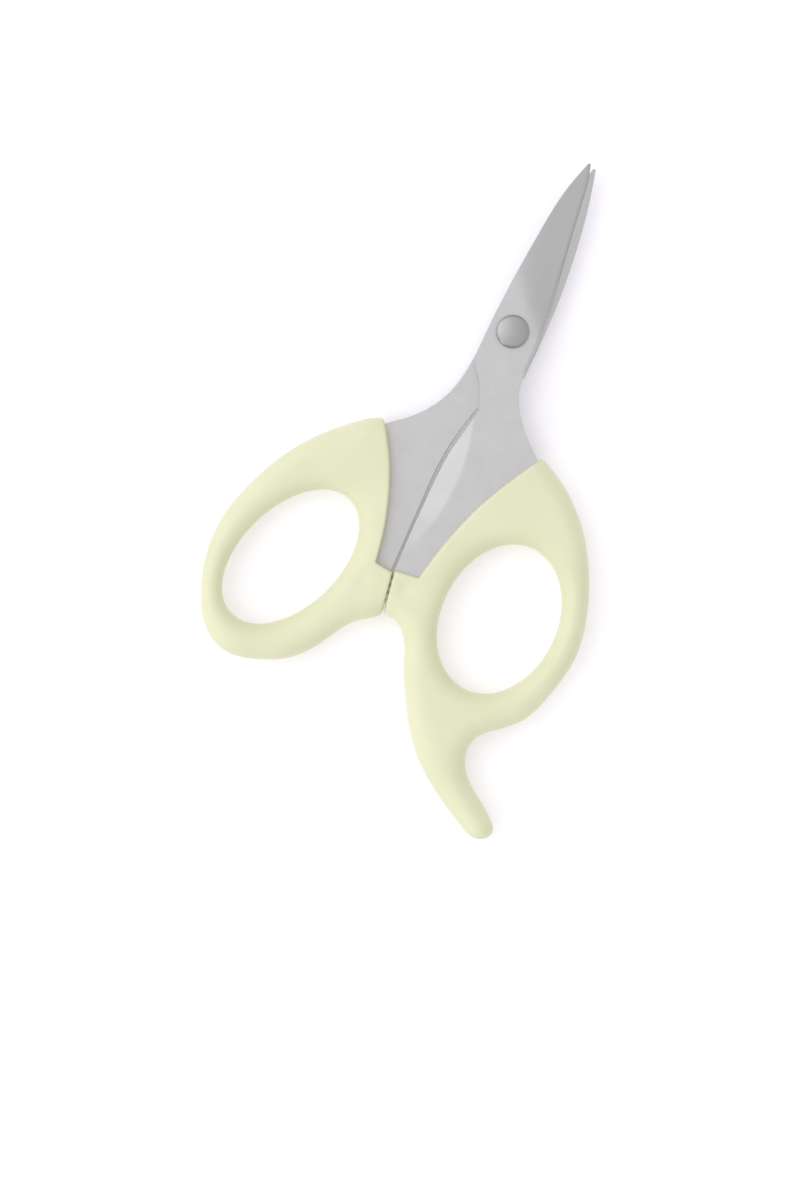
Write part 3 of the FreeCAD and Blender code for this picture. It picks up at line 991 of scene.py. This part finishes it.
@dataclass
class Turned:
    """A part turned on a lathe: a profile of radius and height spun round the pivot axis."""

    name: str
    node: str
    half: Half
    slot: str
    profile: Sequence[Point]
    material: bpy.types.Material
    segments: int = 96
    sharp: float = 35.0
    hole_spread: float = 0.0
    hole_radius: float = 0.4
    hole_depth: float = 0.6

    def _drilled(self, recipe: Recipe, solid: Signal) -> Signal:
        """Two blind holes from below, at the same distance on either side of the axis.

        Args:
            recipe: the tree that the nodes go into.
            solid: the closed solid to drill.

        Returns:
            The drilled solid.
        """
        spread = recipe.size("Hole Spread", self.hole_spread * MM)
        places = recipe.node("GeometryNodeMeshLine", {"mode": "OFFSET"}, {
            "Count": 2, "Start Location": recipe.vector(spread * -1.0, 0.0, 0.0),
            "Offset": recipe.vector(spread * 2.0, 0.0, 0.0)})
        drill = recipe.node("GeometryNodeMeshCylinder", {}, {
            "Vertices": 32, "Radius": recipe.size("Hole Radius", self.hole_radius * MM),
            "Depth": recipe.size("Hole Depth", self.hole_depth * MM) * 2.0})
        pair = {"Points": places, "Instance": drill}
        drills = recipe.node("GeometryNodeInstanceOnPoints", {}, pair)
        tool = recipe.node("GeometryNodeRealizeInstances", {}, {0: drills})
        settings = {"operation": "DIFFERENCE", "solver": "EXACT"}
        return recipe.node("GeometryNodeMeshBoolean", settings, {"Mesh 1": solid, "Mesh 2": tool})

    def build(self) -> bpy.types.Object:
        """Spin the profile, which runs anticlockwise in the plane of radius and height."""
        mesh = bpy.data.meshes.new(self.name)
        mesh.from_pydata([(r * MM, 0.0, z * MM) for r, z in self.profile], [], [])
        made = plain_object(self.name, mesh)
        recipe = Recipe(self.name + "_lathe")
        count = len(self.profile)
        segments = recipe.size("Segments", float(self.segments))
        grid = recipe.node("GeometryNodeMeshGrid", {}, {
            "Size X": 1.0, "Size Y": 1.0, "Vertices X": segments + 1.0, "Vertices Y": count})
        u, v, _ = recipe.parts(recipe.node("GeometryNodeInputPosition"))
        settings = {"data_type": "FLOAT_VECTOR", "domain": "POINT"}
        knot = recipe.node("GeometryNodeSampleIndex", settings, {
            "Geometry": recipe.geometry, "Value": recipe.node("GeometryNodeInputPosition"),
            "Index": ((v + 0.5) * (count - 1)).unary("ROUND")})
        radius, _, height = recipe.parts(knot)
        angle = (u + 0.5) * math.tau
        place = recipe.vector(radius * angle.unary("COSINE"), radius * angle.unary("SINE"), height)
        spun = recipe.node("GeometryNodeSetPosition", {}, {0: grid, "Position": place})
        whole = recipe.node("GeometryNodeMergeByDistance", {}, {0: spun, "Distance": 1e-7})
        if self.hole_spread:
            whole = self._drilled(recipe, whole)
        recipe.run(made, whole, self.material)
        work = bmesh.new()
        work.from_mesh(made.data)
        bmesh.ops.dissolve_degenerate(work, dist=1e-8, edges=work.edges)
        bmesh.ops.recalc_face_normals(work, faces=work.faces)
        work.to_mesh(made.data)
        work.free()
        made.data.shade_smooth()
        made.data.set_sharp_from_angle(angle=math.radians(self.sharp))
        return handed_over(made, self.half, self.node, self.slot)


def arc(centre: Point, radius: float, start: float, end: float, count: int) -> list[Point]:
    """Points of an arc between two angles in degrees."""
    turns = np.radians(np.linspace(start, end, count))
    return [(centre[0] + radius * math.cos(t), centre[1] + radius * math.sin(t)) for t in turns]


@dataclass
class Pivot:
    """The screw, the two washers and the barrel nut."""

    seat: float = 5.62
    head_radius: float = 2.8
    head_height: float = 1.15
    rim: float = 0.7
    rim_round: float = 0.6
    rim_break: float = 0.08
    thread_radius: float = 1.0
    thread_end: float = 2.52
    nut_radius: float = 2.9
    nut_height: float = 1.38
    nut_chamfer: float = 0.15
    fine_break: float = 0.06
    barrel_radius: float = 1.6
    barrel_end: float = 5.3
    spanner_spread: float = 2.1
    plate_top: float = 5.32
    plate_bottom: float = 1.68
    washer_radius: float = 2.5
    friction_bore: float = 1.03
    spring_bore: float = 1.63
    spring_thickness: float = 0.18
    spring_gap: float = 0.01

    def screw(self) -> list[Point]:
        """The head's dome, its rounded rim and the shank."""
        rise = self.head_height - self.rim
        dome = (self.head_radius ** 2 + rise ** 2) / (2 * rise)
        edge = self.head_radius - self.rim_round
        reach = math.degrees(math.asin(edge / dome))
        top = self.seat + self.head_height
        crown = arc((0.0, top - dome), dome, 90 - reach, 90, 20)
        shoulder = crown[0][1] - self.rim_round
        corner = arc((edge, shoulder), self.rim_round, 0, 90 - reach, 7)
        foot = [(self.head_radius - self.rim_break, self.seat),
                (self.head_radius, self.seat + self.rim_break)]
        return [(0.0, self.thread_end), (self.thread_radius, self.thread_end),
                (self.thread_radius, self.seat), *foot, *corner, *crown[1:]]

    def nut(self) -> list[Point]:
        """The foot with a broken edge, the barrel and its tapped hole."""
        outer, height, chamfer = self.nut_radius, self.nut_height, self.nut_chamfer
        return [(0.0, 0.0), (outer - chamfer, 0.0), (outer, chamfer),
                (outer, height - self.fine_break), (outer - self.fine_break, height),
                (self.barrel_radius, height), (self.barrel_radius, self.barrel_end),
                (self.thread_radius, self.barrel_end), (self.thread_radius, self.thread_end),
                (0.0, self.thread_end)]

    def friction_washer(self) -> list[Point]:
        """A flat ring with rounded edges."""
        inner, outer = self.friction_bore, self.washer_radius
        low, high, edge = self.plate_top, self.seat, self.fine_break
        return [(inner, low), (outer - edge, low), (outer, low + edge), (outer, high - edge),
                (outer - edge, high), (inner, high), (inner, low)]

    def spring_washer(self) -> list[Point]:
        """A dished ring."""
        inner, outer, thick = self.spring_bore, self.washer_radius, self.spring_thickness
        low, high = self.nut_height, self.plate_bottom - self.spring_gap
        return [(inner, low), (outer, high - thick), (outer, high), (inner, low + thick),
                (inner, low)]

    def build(self) -> list[bpy.types.Object]:
        """Turn the four parts."""
        steel = TurnedSteel("turned_steel").material()
        spring = PlainSurface("spring_steel", (0.42, 0.42, 0.43), 0.35, 1.0).material()
        acetal = PlainSurface("white_acetal", (0.82, 0.82, 0.79), 0.45).material()
        half = Half.UPPER
        parts = [
            Turned("domed_screw", "pivot_screw", half, "pivot_steel", self.screw(), steel),
            Turned("barrel_nut", "pivot_nut", half, "pivot_steel", self.nut(), steel,
                   hole_spread=self.spanner_spread),
            Turned("acetal_washer", "friction_washer", half, "washer_plastic",
                   self.friction_washer(), acetal),
            Turned("dished_washer", "spring_washer", half, "spring_steel",
                   self.spring_washer(), spring)]
        return [part.build() for part in parts]


# ---------------------------------------------------------------- studio

@dataclass
class Studio:
    """A luminous white table, a broad overhead light and a camera that looks straight down."""

    view_centre: Point = (2.65, -49.0)
    view_height: float = 203.4
    camera_level: float = 1.0
    camera_turn: float = -25.85
    floor_size: float = 12.0
    floor_drop: float = 0.03
    floor_colour: Colour = (0.9, 0.88, 0.93)
    glow: float = 0.27
    lamp_colour: Colour = (1.0, 0.995, 0.985)
    lamp_aim: tuple[float, float, float] = (0.0, -0.03, 0.0)
    key_place: tuple[float, float, float] = (-1.62, -0.2, 1.5)
    key_size: float = 2.4
    key_power: float = 12.0
    fill_place: tuple[float, float, float] = (-0.42, -1.15, 0.5)
    fill_size: float = 0.35
    fill_power: float = 1.3
    sky_aim: tuple[float, float, float] = (-0.372, -0.03, 0.928)
    sky_low: float = 0.70
    sky_high: float = 0.47

    def floor(self) -> bpy.types.Object:
        """A table that the snips lie on."""
        half = self.floor_size / 2
        mesh = bpy.data.meshes.new("floor")
        corners = [(x * half, y * half, 0) for x, y in ((-1, -1), (1, -1), (1, 1), (-1, 1))]
        mesh.from_pydata(corners, [], [(0, 1, 2, 3)])
        made = plain_object("floor", mesh)
        made.location.z = -self.floor_drop * MM
        finish = PlainSurface("table_white", self.floor_colour, 0.9, glow=self.glow)
        mesh.materials.append(finish.material())
        return made

    def camera(self) -> bpy.types.Object:
        """A long lens above the middle of the view."""
        data = bpy.data.cameras.new("camera")
        data.sensor_width = 36.0
        data.lens = data.sensor_width * self.camera_level / (self.view_height * MM)
        made = plain_object("camera", data)
        made.location = (*(value * MM for value in self.view_centre), self.camera_level)
        made.rotation_euler = (0, 0, -math.radians(self.camera_turn))
        bpy.context.scene.camera = made
        return made

    def softbox(self, name: str, place: tuple[float, float, float], size: float,
                power: float) -> bpy.types.Object:
        """A square lamp that points at the snips.

        Args:
            name: the lamp's name.
            place: where it hangs, in metres.
            size: the length of its side, in metres.
            power: its power in watts.

        Returns:
            The lamp's object.
        """
        data = bpy.data.lights.new(name, "AREA")
        data.size = size
        data.energy = power
        data.color = self.lamp_colour
        made = plain_object(name, data)
        made.location = Vector(place)
        aim = Vector(self.lamp_aim) - made.location
        made.rotation_euler = aim.to_track_quat("-Z", "Y").to_euler()
        return made

    def world(self) -> bpy.types.World:
        """A white room, brightest overhead and towards the key light."""
        world = bpy.data.worlds.new("white_room")
        world.use_nodes = True
        wiring = Wiring(world.node_tree)
        facing = wiring.node("ShaderNodeVectorMath", {"operation": "DOT_PRODUCT"}, {
            0: wiring.node("ShaderNodeTexCoord", output="Generated"), 1: self.sky_aim},
            output="Value")
        background = world.node_tree.nodes["Background"]
        wiring.feed(background, "Color", (1.0, 1.0, 1.0, 1.0))
        wiring.feed(background, "Strength", self.sky_low + facing.above(0.0) ** 3.0 * self.sky_high)
        bpy.context.scene.world = world
        return world

    def build(self) -> None:
        """Set everything up."""
        self.floor()
        self.camera()
        self.world()
        self.softbox("key_softbox", self.key_place, self.key_size, self.key_power)
        self.softbox("fill_softbox", self.fill_place, self.fill_size, self.fill_power)
        bpy.context.scene.view_settings.view_transform = "Standard"


# ---------------------------------------------------------------- assembly

# The pale lime's lit colour, then its tone in shade, which the material paints in as patches of
# painted shade.
PLASTIC = MouldedPlastic("pale_lime_plastic", (0.785, 0.788, 0.553), (0.747, 0.758, 0.52))


def finger_bow() -> Bow:
    """The right-hand bow with its finger rest."""
    return Bow(
        name="finger_bow_moulding", node="finger_bow", half=Half.UPPER,
        outside=[(9.0, -15.6), (14.6, -17.3), (20.2, -20.3), (25.3, -24.9), (29.6, -31.2),
                 (32.6, -38.2), (33.7, -45.2), (32.7, -51.8), (30.0, -58.6), (26.6, -61.9),
                 (24.2, -64.6), (24.2, -68.2), (27.4, -72.1), (32.2, -75.3), (33.9, -77.7),
                 (32.3, -79.6), (28.3, -78.8), (21.6, -75.2), (15.2, -70.0), (10.9, -64.0),
                 (7.9, -58.6), (5.6, -54.1), (3.6, -52.5), (1.9, -52.2), (-1.5, -51.6)],
        outside_close=[(-6.0, -50.0), (-6.0, -14.0)],
        crisp=[[(17.5, -9.0), (13.0, -18.1), (8.3, -27.5), (6.0, -34.0), (4.4, -40.6),
                (3.75, -44.1)],
               [(3.75, -44.1), (-0.483, -44.75)],
               [(-0.483, -44.75), (2.867, -62.0)]],
        crisp_close=[(2.867, -62.0), (2.867, -95.0), (60.0, -95.0), (60.0, -9.0)],
        eye=Eye((19.1, -44.6), 9.7, 13.15),
        hollows=[Hollow((2.8, -47.2), 1.4, 0.3)],
        finish=PLASTIC)


def thumb_bow() -> Bow:
    """The left-hand bow."""
    return Bow(
        name="thumb_bow_moulding", node="thumb_bow", half=Half.LOWER,
        outside=[(-9.0, -22.0), (-14.1, -22.9), (-18.2, -26.0), (-22.2, -30.2), (-26.0, -35.9),
                 (-28.8, -42.2), (-30.6, -49.4), (-30.5, -55.8), (-28.7, -62.0), (-25.0, -67.5),
                 (-19.8, -69.7), (-14.6, -68.5), (-9.9, -65.9), (-6.2, -61.4), (-4.0, -57.4),
                 (-2.0, -55.0), (-0.4, -53.9), (0.95, -52.5), (2.5, -50.5)],
        outside_close=[(8.0, -45.0), (8.0, -20.0)],
        crisp=[[(3.613, -66.0), (-0.427, -45.2)],
               [(-0.427, -45.2), (-3.6, -44.95)],
               [(-3.6, -44.95), (-4.6, -40.0), (-6.4, -34.3), (-9.0, -28.5), (-12.1, -23.7),
                (-17.0, -16.5)]],
        crisp_close=[(-17.0, -16.5), (-60.0, -16.5), (-60.0, -90.0), (3.613, -90.0)],
        eye=Eye((-17.1, -50.4), 8.25, 13.8, -20.0),
        hollows=[Hollow((-4.8, -48.6), 1.9, 0.35)],
        finish=PLASTIC)


def upper_blade() -> Blade:
    """The top plate, whose tang the finger bow holds."""
    return Blade(
        name="upper_plate", node="upper_blade", half=Half.UPPER,
        outline=[[(-3.9, -6.6), (-3.97, 0), (-3.8, 7.5), (-3.25, 17), (-2.3, 25.5), (-0.85, 31.25)],
                 [(-0.85, 31.25), (-0.45, 31.35)],
                 [(-0.45, 31.35), (0.3, 28.9), (0.95, 25.4), (2.1, 18.2), (3.45, 10), (4.3, 4.4),
                  (4.75, 0), (4.98, -5.5)],
                 [(4.98, -5.5), (5.3, -8.4), (6.6, -11.1), (9.4, -14.5), (13.3, -17.7)],
                 [(13.3, -17.7), (14.7, -19.6), (14.6, -22.6)],
                 [(14.6, -22.6), (12.2, -28), (8.6, -33.6), (6.9, -38.5), (6.0, -45.8)],
                 [(6.0, -45.8), (2.3, -47.2)],
                 [(2.3, -47.2), (1.6, -44.95)],
                 [(1.6, -44.95), (-0.4, -44.9)],
                 [(-0.4, -44.9), (-0.72, -39), (-0.87, -32), (-0.92, -26), (-0.7, -23),
                  (-0.08, -19), (0.65, -14.6)],
                 [(0.65, -14.6), (-0.35, -12.0), (-1.7, -9.6), (-3.0, -8.1), (-3.9, -6.6)]],
        finish=SatinSteel("upper_satin", grind_turn=4.0),
        grinding=Grinding())


def lower_blade() -> Blade:
    """The bottom plate, whose tang the thumb bow holds."""
    return Blade(
        name="lower_plate", node="lower_blade", half=Half.LOWER,
        outline=[[(5.2, -6.0), (5.15, 0), (4.72, 9), (3.75, 17), (2.25, 25), (0.75, 30.8)],
                 [(0.75, 30.8), (0.35, 30.85)],
                 [(0.35, 30.85), (-0.2, 28.6), (-0.8, 25), (-1.8, 18), (-3.0, 10), (-3.6, 4.4),
                  (-3.75, 0), (-3.95, -6.5)],
                 [(-3.95, -6.5), (-4.3, -10.5), (-5.4, -14.6), (-8.6, -19.6), (-12.4, -23.1)],
                 [(-12.4, -23.1), (-14.3, -25.2), (-14.5, -28.4)],
                 [(-14.5, -28.4), (-11.2, -32.2), (-8.1, -36.4), (-6.3, -41.2), (-5.6, -46.2)],
                 [(-5.6, -46.2), (-2.6, -47.6)],
                 [(-2.6, -47.6), (-2.1, -45.3)],
                 [(-2.1, -45.3), (-0.8, -45.3)],
                 [(-0.8, -45.3), (-1.06, -39), (-1.32, -32), (-1.46, -26), (-1.32, -23),
                  (-0.75, -19), (0.1, -14.9)],
                 [(0.1, -14.9), (1.4, -12.0), (2.8, -9.6), (4.2, -7.9), (5.2, -6.0)]],
        finish=SatinSteel("lower_satin", grind_turn=-4.0),
        grinding=Grinding(relief_radius=0.0))


def main() -> None:
    """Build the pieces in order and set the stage."""
    logging.basicConfig(level=logging.INFO, format="%(name)s: %(message)s")
    makers = [finger_bow(), thumb_bow(), upper_blade(), lower_blade()]
    pieces = [maker.build() for maker in makers] + Pivot().build()
    for piece in pieces:
        LOG.info("%s: %d faces", piece.name, len(piece.data.polygons))
    Studio().build()


if __name__ == "__main__":
    main()
